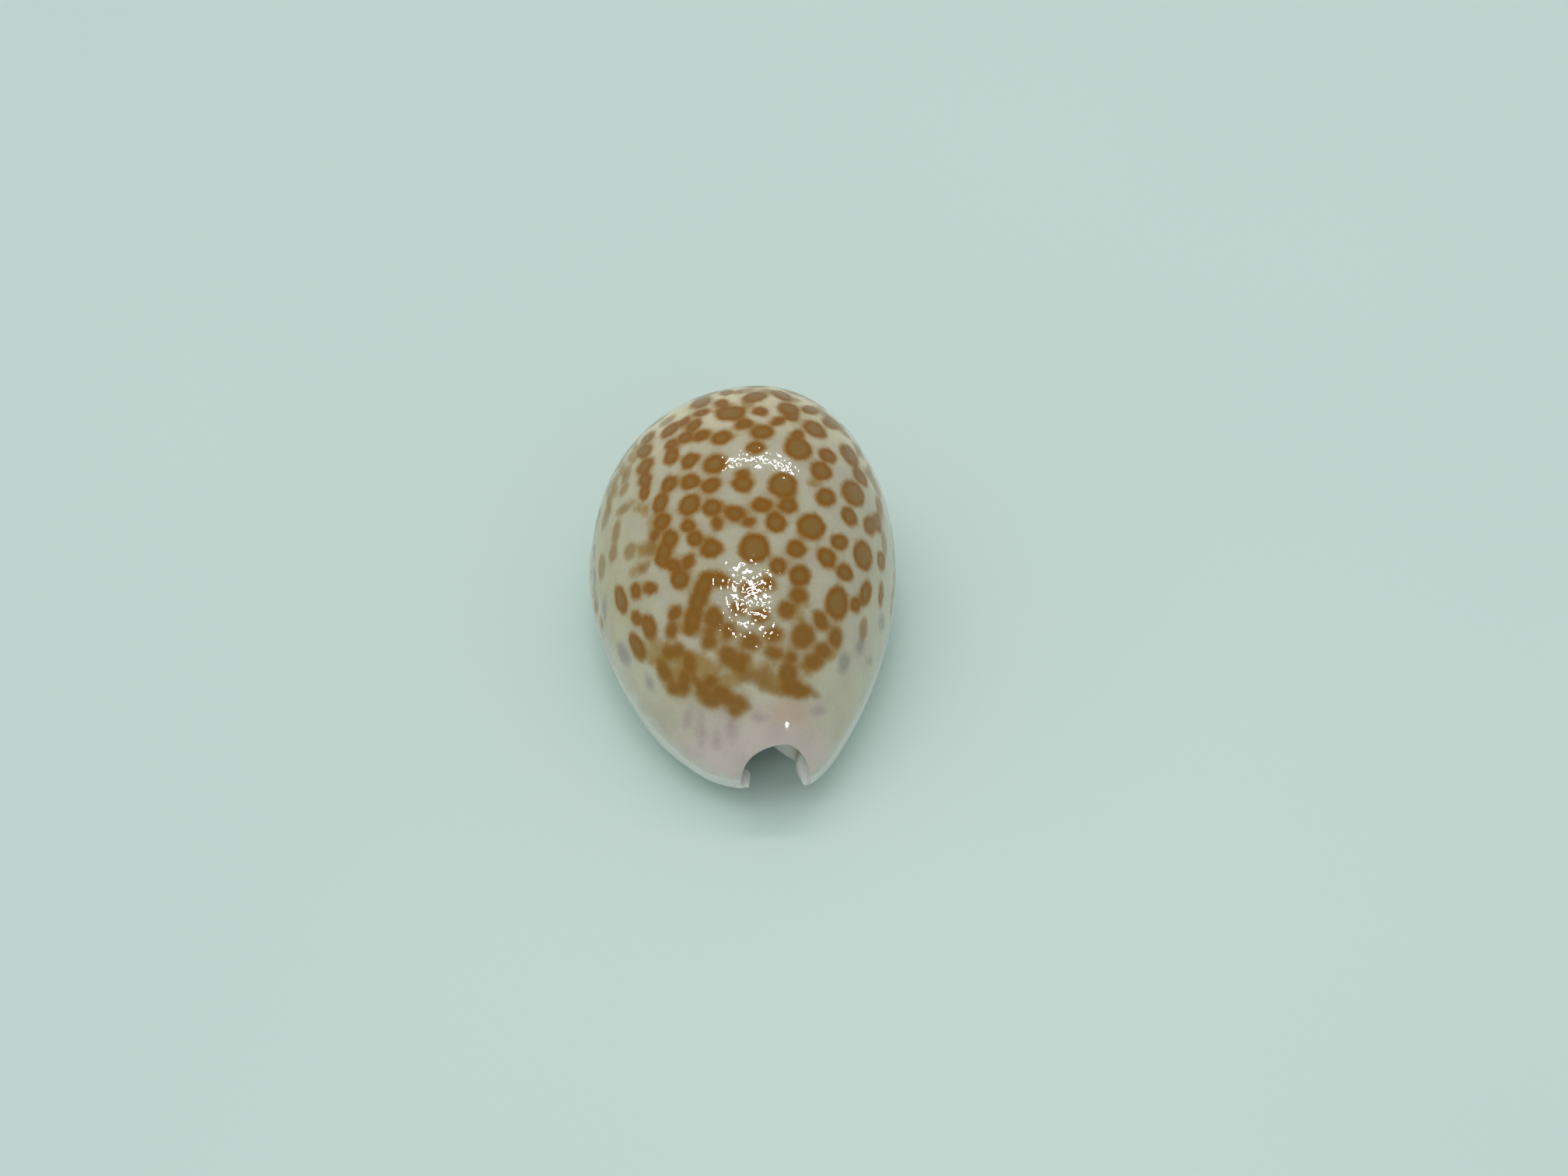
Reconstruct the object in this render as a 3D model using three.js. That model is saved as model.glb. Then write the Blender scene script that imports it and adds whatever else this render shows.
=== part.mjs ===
// An empty cowrie shell lying on its base: a humped, pear-shaped dome with a narrow toothed mouth along
// the underside and an open channel at each end. The wall is one curled sheet, so it is one solid.
// Millimetres. +Z is up from the table, +Y runs to the blunt rear end, and +X is the inner-lip side.
import * as THREE from "three";

// Overall size
const LENGTH = 16;
const WIDTH = 11.5;
const HEIGHT = 9;

// Plan outline, as reaches from the middle plane to each margin
const OUTER_LIP_WIDEST_Y = 1.2;
const INNER_LIP_WIDEST_Y = 1.4;
const FRONT_TIP_REACH = { outer: 0.61, inner: 2.11 };
const FRONT_POWER = { outer: 1.9, inner: 1.9 };
const FRONT_FULLNESS = { outer: 0.62, inner: 0.87 };
const REAR_CLOSE_REACH = { outer: 0, inner: 1.32 };
const REAR_POWER = { outer: 2.16, inner: 1.96 };

// Side profile
const CREST_Y = 1.6;
const CREST_OFFSET = 0.5;
const CREST_DRIFT = { front: 0.6, rear: 0.4 };
const FRONT_ROOF = 3.7;
const FRONT_SLOPE = { power: 2.17, fullness: 1.27 };
const REAR_DOME = { power: 2.28, fullness: 0.455, foot: 1.28, closeY: 7.9 };
const MARGIN_HEIGHT = { middle: 2.23, front: 1.28, rear: 1.05 };
const BASE_LIFT = { front: 1, rear: 0.6 };
const BASE_WEAR = 0.17;
const BASE_SQUARENESS = 2.6;

// The short collar round the rear channel
const COLLAR = { roof: 1.8, outer: 0.45, inner: 1.85 };
const FILLET_POWER = 6;

// Wall, lips and the two end channels
const WALL = { middle: 0.8, ends: 0.4, moreAtRoof: 0.45 };
const LIP_THICKNESS = { outer: [0.5, 0.9], inner: [0.45, 2.05] };
const LIP_ROUND = { outer: 0.75, inner: 1.3 };
const ROOF_SETBACK = { front: 0.5, rear: 0.3 };
const SETBACK_SPAN = 2.5;
const RIM_SPAN = 0.75;
const RIM_LEAN = { lip: 0.65, roof: 0.12 };

// Edges of the mouth, each as points [y, x] that a smooth curve passes through
const OUTER_LIP_EDGE = [
  [-8, -0.2], [-7.5, -0.12], [-7, -0.15], [-6, -0.92], [-5, -1.3], [-4, -1.36],
  [-2, -1.2], [1, -1.0], [4, -0.5], [6.5, 0.15], [8, 0.2],
];
const INNER_LIP_EDGE = [
  [-8, 1.74], [-7.4, 1.5], [-6.85, 1.45], [-6.15, 0.7], [-5.4, 0.55], [-4.4, 0.2],
  [-3, -0.2], [-1, -0.34], [1, -0.22], [4, 0.3], [6.5, 0.95], [8, 1.2],
];

// Teeth: grooves cut across both lips at one pitch
const TOOTH_PITCH = 1.015;
const FIRST_GROOVE_Y = -7.08;
const TOOTH_GAPS = 14;
const GROOVE = {
  outer: { depth: 0.34, shift: 0, onBase: 1.3, inside: 0.8 },
  inner: { depth: 0.3, shift: 0.4, onBase: 0.9, inside: 1.6 },
};

// A low keel along the outer-lip margin, and the dimple that covers the spire
const KEEL = { height: 0.1, spread: 0.35 };
const DIMPLE = { centre: [1.35, 7.55, 3.6], spread: 0.8, depth: 0.22 };

// Facets: stations in each tooth pitch and at the ends, and points on each stretch of the section
const STATIONS = { perTooth: 4, front: 7, rear: 8 };
const SECTION = { nose: 3, base: 4, dome: 9 };

const clamp01 = (v) => Math.min(1, Math.max(0, v));
const mix = (a, b, share) => a + (b - a) * share;
const smooth = (v) => v * v * (3 - 2 * v);
const fillet = (a, b) => (Math.max(a, 0) ** FILLET_POWER + b ** FILLET_POWER) ** (1 / FILLET_POWER);

// A smooth curve through points [y, x], by cubic pieces whose slopes come from the neighbours
function curveThrough(points, y) {
  let i = 0;
  while (i < points.length - 2 && y > points[i + 1][0]) i++;
  const slope = (k) => {
    const a = points[Math.max(k - 1, 0)];
    const b = points[Math.min(k + 1, points.length - 1)];
    return (b[1] - a[1]) / (b[0] - a[0]);
  };
  const [y0, x0] = points[i];
  const [y1, x1] = points[i + 1];
  const span = y1 - y0;
  const u = (y - y0) / span;
  const bend = (slope(i) * (1 - u) - slope(i + 1) * u) * span + (x1 - x0) * (2 * u - 1);
  return x0 + (x1 - x0) * u + u * (1 - u) * bend;
}

// How far along y lies from a widest station to the front end, and to the rear end, from 0 to 1
const towardsFront = (y, from) => clamp01((from - y) / (from + LENGTH / 2));
const towardsRear = (y, from, end = LENGTH / 2) => clamp01((y - from) / (end - from));
const endsFade = (y) => 1 - Math.abs(y / (LENGTH / 2)) ** 6;

// Reach of one margin at y. The inner surface uses the same curve, moved in by inset.
function reach(side, y, inset) {
  const widest = side === "outer" ? OUTER_LIP_WIDEST_Y : INNER_LIP_WIDEST_Y;
  const half = WIDTH / 2 - inset - (side === "outer" ? KEEL.height : 0);
  if (y < widest) {
    const tip = FRONT_TIP_REACH[side] - inset;
    const share = towardsFront(y, widest) ** FRONT_POWER[side];
    return tip + (half - tip) * (1 - share) ** FRONT_FULLNESS[side];
  }
  const foot = Math.max(REAR_CLOSE_REACH[side] - inset, 0);
  const share = towardsRear(y, widest, REAR_DOME.closeY - inset) ** REAR_POWER[side];
  return fillet(foot + (half - foot) * Math.sqrt(1 - share), COLLAR[side] - inset * 0.8);
}

// Height of the back's crest at y
function crestHeight(y, inset) {
  const top = HEIGHT - inset;
  if (y < CREST_Y) {
    const roof = FRONT_ROOF - inset;
    const share = towardsFront(y, CREST_Y) ** FRONT_SLOPE.power;
    return roof + (top - roof) * (1 - share) ** FRONT_SLOPE.fullness;
  }
  const foot = REAR_DOME.foot - inset;
  const share = towardsRear(y, CREST_Y, REAR_DOME.closeY - inset) ** REAR_DOME.power;
  return fillet(foot + (top - foot) * (1 - share) ** REAR_DOME.fullness, COLLAR.roof - inset);
}

const crestX = (y) =>
  CREST_OFFSET +
  CREST_DRIFT.front * towardsFront(y, CREST_Y) ** 2 +
  CREST_DRIFT.rear * towardsRear(y, CREST_Y) ** 2;

const marginHeight = (y) =>
  MARGIN_HEIGHT.middle +
  (MARGIN_HEIGHT.front - MARGIN_HEIGHT.middle) * towardsFront(y, CREST_Y) ** 3 +
  (MARGIN_HEIGHT.rear - MARGIN_HEIGHT.middle) * towardsRear(y, CREST_Y) ** 5;

const baseHeight = (y) =>
  BASE_LIFT.front * towardsFront(y, CREST_Y) ** 4 +
  BASE_LIFT.rear * towardsRear(y, CREST_Y) ** 4 -
  BASE_WEAR;

// One side of the section in its own terms: out is the distance from the mouth's edge line, z the height.
// Outside: nose, base, margin and half of the back. Inside: the same stretches of the inner surface.
function sideOfSection(side, y) {
  const sign = side === "outer" ? -1 : 1;
  const edge = sign * curveThrough(side === "outer" ? OUTER_LIP_EDGE : INNER_LIP_EDGE, y);
  const wall = mix(WALL.ends, WALL.middle, endsFade(y));
  const [thinLip, moreLip] = LIP_THICKNESS[side];
  const lip = thinLip + moreLip * endsFade(y);
  const crest = sign * crestX(y);
  const base = baseHeight(y);
  const outside = { reach: reach(side, y, 0), top: crestHeight(y, 0), margin: marginHeight(y), floor: base };
  const floor = base + lip;
  const roofWall = wall + WALL.moreAtRoof * (1 - endsFade(y));
  const inside = { reach: Math.max(reach(side, y, wall), edge + 0.06), floor };
  inside.top = Math.max(crestHeight(y, roofWall), floor + 0.12);
  inside.margin = Math.min(Math.max(outside.margin, floor + 0.35), mix(floor, inside.top, 0.6));
  const noseSplit = base + lip / 2;

  const stretch = (surface) => {
    const across = surface.reach - edge;
    const roundX = Math.min(LIP_ROUND[side], across * 0.45);
    const points = [];
    for (let i = 0; i < SECTION.nose; i++) {
      const turn = (i / SECTION.nose) * (Math.PI / 2);
      const z = mix(noseSplit, surface.floor, Math.sin(turn));
      points.push([edge + roundX * (1 - Math.cos(turn)), z]);
    }
    const power = 2 / BASE_SQUARENESS;
    for (let i = 0; i < SECTION.base; i++) {
      const turn = (i / SECTION.base) * (Math.PI / 2);
      const out = edge + roundX + (across - roundX) * Math.sin(turn) ** power;
      points.push([out, surface.margin - (surface.margin - surface.floor) * Math.cos(turn) ** power]);
    }
    for (let i = 0; i <= SECTION.dome; i++) {
      const turn = (i / SECTION.dome) * (Math.PI / 2);
      const out = crest + (surface.reach - crest) * Math.cos(turn);
      points.push([out, surface.margin + (surface.top - surface.margin) * Math.sin(turn)]);
    }
    const keel = (z) => KEEL.height * Math.exp(-(((z - surface.margin) / KEEL.spread) ** 2)) * endsFade(y);
    const hasKeel = side === "outer" && surface === outside;
    return points.map(([out, z]) => [sign * (out + (hasKeel ? keel(z) : 0)), z]);
  };
  return { outside: stretch(outside), inside: stretch(inside) };
}

// Depth of the grooves between teeth at y, from 0 on a tooth to 1 in a groove
function grooveAt(side, y) {
  const from = FIRST_GROOVE_Y + GROOVE[side].shift;
  const along = Math.abs(Math.sin((Math.PI * (y - from)) / TOOTH_PITCH));
  const started = clamp01((y - from + TOOTH_PITCH / 2) * 4);
  const ended = clamp01((from + TOOTH_PITCH * (TOOTH_GAPS + 0.5) - y) * 4);
  return (1 - along) ** 1.6 * smooth(started) * smooth(ended);
}

// The whole section at y: the outside from one lip to the other over the back, then the inside.
// Each point has a partner at the same place of the other surface.
function sectionAt(y) {
  const outer = sideOfSection("outer", y);
  const inner = sideOfSection("inner", y);
  const across = (surface) => [...outer[surface], ...inner[surface].slice(0, -1).reverse()];
  const outside = across("outside");
  const inside = across("inside");
  cutGrooves(outside, inside, y);
  roundRim(outside, inside, y);
  return { outside: outside.map((p) => place(p, y, true)), inside: inside.map((p) => place(p, y, false)) };
}

// Cuts the grooves into both lips, deepest at the nose and fading on the base and inside
function cutGrooves(outside, inside, y) {
  const last = outside.length - 1;
  const run = SECTION.nose + SECTION.base;
  for (const side of ["outer", "inner"]) {
    const depth = GROOVE[side].depth * grooveAt(side, y);
    if (depth === 0) continue;
    for (const [points, span, down] of [
      [outside, GROOVE[side].onBase, -1],
      [inside, GROOVE[side].inside, 1],
    ]) {
      const at = (i) => points[side === "outer" ? i : last - i];
      const nose = [...at(0)];
      for (let i = 0; i < run; i++) {
        const p = at(i);
        const away = Math.hypot(p[0] - nose[0], p[1] - nose[1]);
        const cut = depth * smooth(clamp01(1 - away / span));
        const flat = (i / SECTION.nose) * (Math.PI / 2);
        const lean = Math.min(flat, Math.PI / 2);
        p[0] += (side === "outer" ? -1 : 1) * cut * Math.cos(lean);
        p[1] -= down * cut * Math.sin(lean);
      }
    }
  }
}

// Draws the two surfaces together towards each end, so that the wall ends in a rounded rim
function roundRim(outside, inside, y) {
  const fromEnd = clamp01((LENGTH / 2 - Math.abs(y)) / RIM_SPAN);
  const open = Math.sqrt(Math.max(0, 1 - (1 - fromEnd) ** 2));
  const lip = outside[0][1];
  const roof = crestHeight(y, 0);
  outside.forEach((p, i) => {
    const q = inside[i];
    const lean = mix(RIM_LEAN.lip, RIM_LEAN.roof, smooth(clamp01((p[1] - lip) / (roof - lip))));
    for (const axis of [0, 1]) {
      const middle = mix(q[axis], p[axis], lean);
      p[axis] = mix(middle, p[axis], open);
      q[axis] = mix(middle, q[axis], open);
    }
  });
}

// Puts a section point in space: worn base, set-back channel roofs and the spire's dimple
function place([x, z], y, isOutside) {
  const p = new THREE.Vector3(x, y, z);
  if (isOutside) {
    p.z = Math.max(p.z, 0);
    const away = p.distanceTo(new THREE.Vector3(...DIMPLE.centre));
    p.y -= DIMPLE.depth * Math.exp(-((away / DIMPLE.spread) ** 2));
  }
  for (const [end, sign] of [["front", -1], ["rear", 1]]) {
    const near = smooth(clamp01(1 - (LENGTH / 2 - sign * y) / SETBACK_SPAN));
    const roof = end === "front" ? FRONT_ROOF : COLLAR.roof;
    const tip = BASE_LIFT[end] + 0.1;
    p.y -= sign * ROOF_SETBACK[end] * near * smooth(clamp01((p.z - tip) / (roof - tip)));
  }
  return p;
}

// Stations along the shell: each tooth pitch is a whole number of steps, and both ends are closer set
function stationList() {
  const ys = [];
  const lastGroove = FIRST_GROOVE_Y + TOOTH_PITCH * TOOTH_GAPS;
  const end = LENGTH / 2;
  const closing = (share) => 1 - Math.cos((share * Math.PI) / 2);
  for (let i = 0; i < STATIONS.front; i++) ys.push(mix(-end, FIRST_GROOVE_Y, closing(i / STATIONS.front)));
  const steps = STATIONS.perTooth * TOOTH_GAPS;
  for (let i = 0; i < steps; i++) ys.push(mix(FIRST_GROOVE_Y, lastGroove, i / steps));
  for (let i = STATIONS.rear; i >= 0; i--) ys.push(mix(end, lastGroove, closing(i / STATIONS.rear)));
  return ys;
}

// Joins the rings into one closed surface
function shellGeometry() {
  const rings = stationList().map(sectionAt);
  const count = rings[0].outside.length;
  const positions = [];
  const indexOf = rings.map(({ outside, inside }, r) => {
    const isEnd = r === 0 || r === rings.length - 1;
    const add = (p) => positions.push(p.x, p.y, p.z) / 3 - 1;
    const out = outside.map(add);
    const lips = [0, count - 1];
    return { out, into: isEnd ? out : inside.map((p, i) => (lips.includes(i) ? out[i] : add(p))) };
  });
  const triangles = [];
  const quad = (a, b, c, d) => {
    if (a !== b && b !== c && c !== a) triangles.push(a, b, c);
    if (a !== c && c !== d && d !== a) triangles.push(a, c, d);
  };
  for (let r = 0; r + 1 < rings.length; r++) {
    const [near, far] = [indexOf[r], indexOf[r + 1]];
    for (let i = 0; i + 1 < count; i++) {
      quad(near.out[i + 1], far.out[i + 1], far.out[i], near.out[i]);
      quad(near.into[i], far.into[i], far.into[i + 1], near.into[i + 1]);
    }
  }
  const geometry = new THREE.BufferGeometry();
  geometry.setAttribute("position", new THREE.Float32BufferAttribute(positions, 3));
  geometry.setIndex(triangles);
  geometry.computeVertexNormals();
  return geometry;
}

const porcelain = new THREE.MeshStandardMaterial({ color: 0xd9cfc6, roughness: 0.18, metalness: 0 });
const shell = new THREE.Mesh(shellGeometry(), porcelain);
shell.name = "shell";

const cowrie = new THREE.Group();
cowrie.add(shell);
export default cowrie;
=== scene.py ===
"""A small glossy cowrie shell, lying mouth down on a plain pale floor.

The shell is one curled sheet of wall. Its cross-sections are set out station by station from the front
channel to the rear one, and joined into one closed skin. The teeth of the mouth are cut by a node tree.
Everything is worked out in millimetres and turned into metres at the end.
"""
import bpy
import numpy as np
from mathutils import Matrix, Vector
from mathutils.bvhtree import BVHTree


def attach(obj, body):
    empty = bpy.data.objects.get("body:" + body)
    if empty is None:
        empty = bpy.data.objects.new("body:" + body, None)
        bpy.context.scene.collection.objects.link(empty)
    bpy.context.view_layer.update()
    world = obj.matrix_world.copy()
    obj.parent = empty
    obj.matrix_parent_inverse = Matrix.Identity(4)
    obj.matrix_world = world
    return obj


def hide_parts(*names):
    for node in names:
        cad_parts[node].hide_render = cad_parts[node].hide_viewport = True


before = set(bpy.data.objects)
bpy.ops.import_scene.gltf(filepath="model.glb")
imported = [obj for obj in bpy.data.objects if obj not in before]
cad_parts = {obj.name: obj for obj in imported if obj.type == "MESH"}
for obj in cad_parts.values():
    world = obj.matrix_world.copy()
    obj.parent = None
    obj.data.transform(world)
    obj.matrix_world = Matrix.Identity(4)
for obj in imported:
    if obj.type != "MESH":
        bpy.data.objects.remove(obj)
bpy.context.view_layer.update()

MM = 0.001
FRONT, REAR = -8.0, 8.0
HALF_WIDTH = 5.75
HEIGHT = 9.0

# Plan outline: how far each margin reaches from the middle plane
WIDEST_Y = {"outer": 1.2, "inner": 1.4}
FRONT_TIP = {"outer": 0.61, "inner": 2.11}
FRONT_POWER = 1.9
FRONT_FULLNESS = {"outer": 0.62, "inner": 0.87}
REAR_FOOT = {"outer": 0.0, "inner": 1.32}
REAR_POWER = {"outer": 2.16, "inner": 1.96}

# Side profile
CREST_Y = 1.6
CREST_X, CREST_DRIFT = 0.5, {"front": 0.6, "rear": 0.4}
FRONT_ROOF, FRONT_SLOPE = 3.7, (2.17, 1.27)
REAR_DOME, REAR_DOME_FOOT, REAR_CLOSE_Y = (2.28, 0.455), 1.28, 7.9
MARGIN_HEIGHT = {"middle": 2.23, "front": 1.28, "rear": 1.05}
BASE_LIFT = {"front": 1.0, "rear": 0.6}
BASE_WEAR, WEAR_BLEND = 0.17, 0.04
BASE_SQUARENESS = 2.6
COLLAR = {"roof": 1.8, "outer": 0.45, "inner": 1.85}
FILLET_POWER, COLLAR_INSET = 6, 0.8

# Wall, lips and channels
WALL = {"middle": 0.8, "ends": 0.4, "more_at_roof": 0.45}
LIP_THICKNESS = {"outer": (0.5, 0.9), "inner": (0.45, 2.05)}
LIP_ROUND, LIP_ROUND_SHARE = {"outer": 0.75, "inner": 1.3}, 0.45
LEAST_HOLLOW = {"height": 0.12, "margin": 0.35, "width": 0.06}
ROOF_SETBACK, SETBACK_SPAN = {"front": 0.5, "rear": 0.3}, 2.5
RIM_SPAN, RIM_LEAN = 0.75, {"lip": 0.65, "roof": 0.12}
OUTER_LIP_EDGE = [
    (-8, -0.2), (-7.5, -0.12), (-7, -0.15), (-6, -0.92), (-5, -1.3), (-4, -1.36),
    (-2, -1.2), (1, -1.0), (4, -0.5), (6.5, 0.15), (8, 0.2)]
INNER_LIP_EDGE = [
    (-8, 1.74), (-7.4, 1.5), (-6.85, 1.45), (-6.15, 0.7), (-5.4, 0.55), (-4.4, 0.2),
    (-3, -0.2), (-1, -0.34), (1, -0.22), (4, 0.3), (6.5, 0.95), (8, 1.2)]
KEEL = {"height": 0.1, "spread": 0.35}
DIMPLE = {"centre": (1.35, 7.55, 3.6), "spread": 0.8, "depth": 0.22}

# Teeth of the mouth: depth, shift along the shell, reach over the base, reach inside
TOOTH_PITCH, FIRST_GROOVE, TOOTH_GAPS = 1.015, -7.08, 14
GROOVE = {"outer": (0.36, 0.0, 1.3, 0.8), "inner": (0.32, 0.4, 0.9, 1.6)}

# Fineness of the skin: stations, then points on each stretch of the section
STATIONS_PER_TOOTH, STATIONS_FRONT, STATIONS_REAR = 12, 24, 26
NOSE_POINTS, BASE_POINTS, DOME_POINTS = 10, 16, 86
INSIDE_STRIDE = 2


# The shell's shape

def clamp01(v):
    return np.clip(v, 0.0, 1.0)


def smooth(v):
    return v * v * (3.0 - 2.0 * v)


def mix(a, b, share):
    return a + (b - a) * share


def fillet(a, b):
    return (np.maximum(a, 0.0) ** FILLET_POWER + b ** FILLET_POWER) ** (1 / FILLET_POWER)


def curve_through(points, y):
    """A smooth curve through (y, x) points, by cubic pieces with slopes from the neighbours."""
    ys, xs = np.array(points, float).T
    lower = np.maximum(np.arange(len(ys)) - 1, 0)
    upper = np.minimum(np.arange(len(ys)) + 1, len(ys) - 1)
    slope = (xs[upper] - xs[lower]) / (ys[upper] - ys[lower])
    i = np.clip(np.searchsorted(ys, y, side="left") - 1, 0, len(ys) - 2)
    span = ys[i + 1] - ys[i]
    u = (y - ys[i]) / span
    rise = xs[i + 1] - xs[i]
    bend = (slope[i] * (1 - u) - slope[i + 1] * u) * span + rise * (2 * u - 1)
    return xs[i] + rise * u + u * (1 - u) * bend


def towards_front(y, start):
    return clamp01((start - y) / (start - FRONT))


def towards_rear(y, start, end=REAR):
    return clamp01((y - start) / (end - start))


def ends_fade(y):
    return 1 - np.abs(y / REAR) ** 6


def reach(side, y, inset):
    """Distance of one margin from the middle plane; inset gives the inner surface."""
    keel = KEEL["height"] if side == "outer" else 0.0
    half = HALF_WIDTH - inset - keel
    tip = FRONT_TIP[side] - inset
    widest = WIDEST_Y[side]
    front = tip + (half - tip) * (1 - towards_front(y, widest) ** FRONT_POWER) ** FRONT_FULLNESS[side]
    foot = np.maximum(REAR_FOOT[side] - inset, 0)
    closing = towards_rear(y, widest, REAR_CLOSE_Y - inset) ** REAR_POWER[side]
    rear = fillet(foot + (half - foot) * np.sqrt(1 - closing), COLLAR[side] - inset * COLLAR_INSET)
    return np.where(y < widest, front, rear)


def crest_height(y, inset):
    top, roof, foot = HEIGHT - inset, FRONT_ROOF - inset, REAR_DOME_FOOT - inset
    power, fullness = FRONT_SLOPE
    front = roof + (top - roof) * (1 - towards_front(y, CREST_Y) ** power) ** fullness
    power, fullness = REAR_DOME
    closing = towards_rear(y, CREST_Y, REAR_CLOSE_Y - inset) ** power
    rear = fillet(foot + (top - foot) * (1 - closing) ** fullness, COLLAR["roof"] - inset)
    return np.where(y < CREST_Y, front, rear)


def crest_x(y):
    return (CREST_X + CREST_DRIFT["front"] * towards_front(y, CREST_Y) ** 2
            + CREST_DRIFT["rear"] * towards_rear(y, CREST_Y) ** 2)


def margin_height(y):
    low = MARGIN_HEIGHT
    return (low["middle"] + (low["front"] - low["middle"]) * towards_front(y, CREST_Y) ** 3
            + (low["rear"] - low["middle"]) * towards_rear(y, CREST_Y) ** 5)


def base_height(y):
    return (BASE_LIFT["front"] * towards_front(y, CREST_Y) ** 4
            + BASE_LIFT["rear"] * towards_rear(y, CREST_Y) ** 4 - BASE_WEAR)


def side_of_section(side, y):
    """Points (x, z) of one side, nose to crest, outside and inside, for all stations at once."""
    sign = -1 if side == "outer" else 1
    edge = sign * curve_through(OUTER_LIP_EDGE if side == "outer" else INNER_LIP_EDGE, y)
    wall = mix(WALL["ends"], WALL["middle"], ends_fade(y))
    thin, more = LIP_THICKNESS[side]
    lip = thin + more * ends_fade(y)
    crest = sign * crest_x(y)
    base = base_height(y)
    floor = base + lip
    nose_split = base + lip / 2
    roof_wall = wall + WALL["more_at_roof"] * (1 - ends_fade(y))
    inside_top = np.maximum(crest_height(y, roof_wall), floor + LEAST_HOLLOW["height"])
    margin = margin_height(y)
    outside = (reach(side, y, 0.0 * y), crest_height(y, 0.0 * y), margin, base)
    inside_margin = np.maximum(margin, floor + LEAST_HOLLOW["margin"])
    inside_margin = np.minimum(inside_margin, mix(floor, inside_top, 0.6))
    inside_reach = np.maximum(reach(side, y, wall), edge + LEAST_HOLLOW["width"])
    inside = (inside_reach, inside_top, inside_margin, floor)

    def stretch(surface):
        far, top, mid, low = surface
        across = far - edge
        round_x = np.minimum(LIP_ROUND[side], across * LIP_ROUND_SHARE)
        turn = (np.arange(NOSE_POINTS) / NOSE_POINTS * np.pi / 2)[:, None]
        nose = (edge + round_x * (1 - np.cos(turn)), mix(nose_split, low, np.sin(turn)))
        power = 2 / BASE_SQUARENESS
        turn = (np.arange(BASE_POINTS) / BASE_POINTS * np.pi / 2)[:, None]
        under = (edge + round_x + (across - round_x) * np.sin(turn) ** power,
                 mid - (mid - low) * np.cos(turn) ** power)
        turn = (np.arange(DOME_POINTS + 1) / DOME_POINTS * np.pi / 2)[:, None]
        dome = (crest + (far - crest) * np.cos(turn), mid + (top - mid) * np.sin(turn))
        out = np.concatenate([nose[0], under[0], dome[0]])
        z = np.concatenate([nose[1], under[1], dome[1]])
        if side == "outer" and surface is outside:
            out = out + KEEL["height"] * np.exp(-((z - mid) / KEEL["spread"]) ** 2) * ends_fade(y)
        return np.stack([sign * out, z], -1)

    return stretch(outside), stretch(inside)


def groove_push(points, side, span, down, y):
    """How far, and which way, a full-depth groove moves each point of one lip."""
    run = NOSE_POINTS + BASE_POINTS
    push = np.zeros_like(points)
    last = len(points) - 1
    nose = points[0 if side == "outer" else last]
    for k in range(run):
        i = k if side == "outer" else last - k
        away = np.hypot(*np.moveaxis(points[i] - nose, -1, 0))
        cut = GROOVE[side][0] * smooth(clamp01(1 - away / span))
        lean = min(k / NOSE_POINTS, 1.0) * np.pi / 2
        push[i, :, 0] = (-1 if side == "outer" else 1) * cut * np.cos(lean)
        push[i, :, 1] = -down * cut * np.sin(lean)
    return push


def place(points, y, is_outside):
    """Section points (x, z) at stations y become points in space."""
    x, z = points[..., 0], points[..., 1]
    along = np.broadcast_to(y, x.shape).copy()
    if is_outside:
        z = np.where(z > WEAR_BLEND, z, WEAR_BLEND * np.exp(np.minimum(z / WEAR_BLEND - 1, 0)))
        cx, cy, cz = DIMPLE["centre"]
        away = np.sqrt((x - cx) ** 2 + (along - cy) ** 2 + (z - cz) ** 2)
        along = along - DIMPLE["depth"] * np.exp(-(away / DIMPLE["spread"]) ** 2)
    for sign, end, roof in ((-1, "front", FRONT_ROOF), (1, "rear", COLLAR["roof"])):
        tip = BASE_LIFT[end] + 0.1
        near = smooth(clamp01(1 - (REAR - sign * np.broadcast_to(y, x.shape)) / SETBACK_SPAN))
        along = along - sign * ROOF_SETBACK[end] * near * smooth(clamp01((z - tip) / (roof - tip)))
    return np.stack([x, along, z], -1)


def shell_surfaces(y):
    """Outside and inside points in space, and each one's push for the outer and inner lip's grooves."""
    outer_out, outer_in = side_of_section("outer", y)
    inner_out, inner_in = side_of_section("inner", y)
    outside = np.concatenate([outer_out, inner_out[:-1][::-1]])
    inside = np.concatenate([outer_in, inner_in[:-1][::-1]])
    pushes = {}
    for side in ("outer", "inner"):
        depth, shift, on_base, within = GROOVE[side]
        pushes[side] = (groove_push(outside, side, on_base, -1, y), groove_push(inside, side, within, 1, y))
    from_end = clamp01((REAR - np.abs(y)) / RIM_SPAN)
    is_open = np.sqrt(np.maximum(0, 1 - (1 - from_end) ** 2))
    lip, roof = outside[0, :, 1], crest_height(y, 0.0 * y)
    lean = mix(RIM_LEAN["lip"], RIM_LEAN["roof"], smooth(clamp01((outside[..., 1] - lip) / (roof - lip))))
    middle = inside + lean[..., None] * (outside - inside)
    outside = middle + (outside - middle) * is_open[:, None]
    inside = middle + (inside - middle) * is_open[:, None]
    for side in pushes:
        pushes[side] = tuple(p * is_open[:, None] for p in pushes[side])
    return place(outside, y, True), place(inside, y, False), pushes


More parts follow.
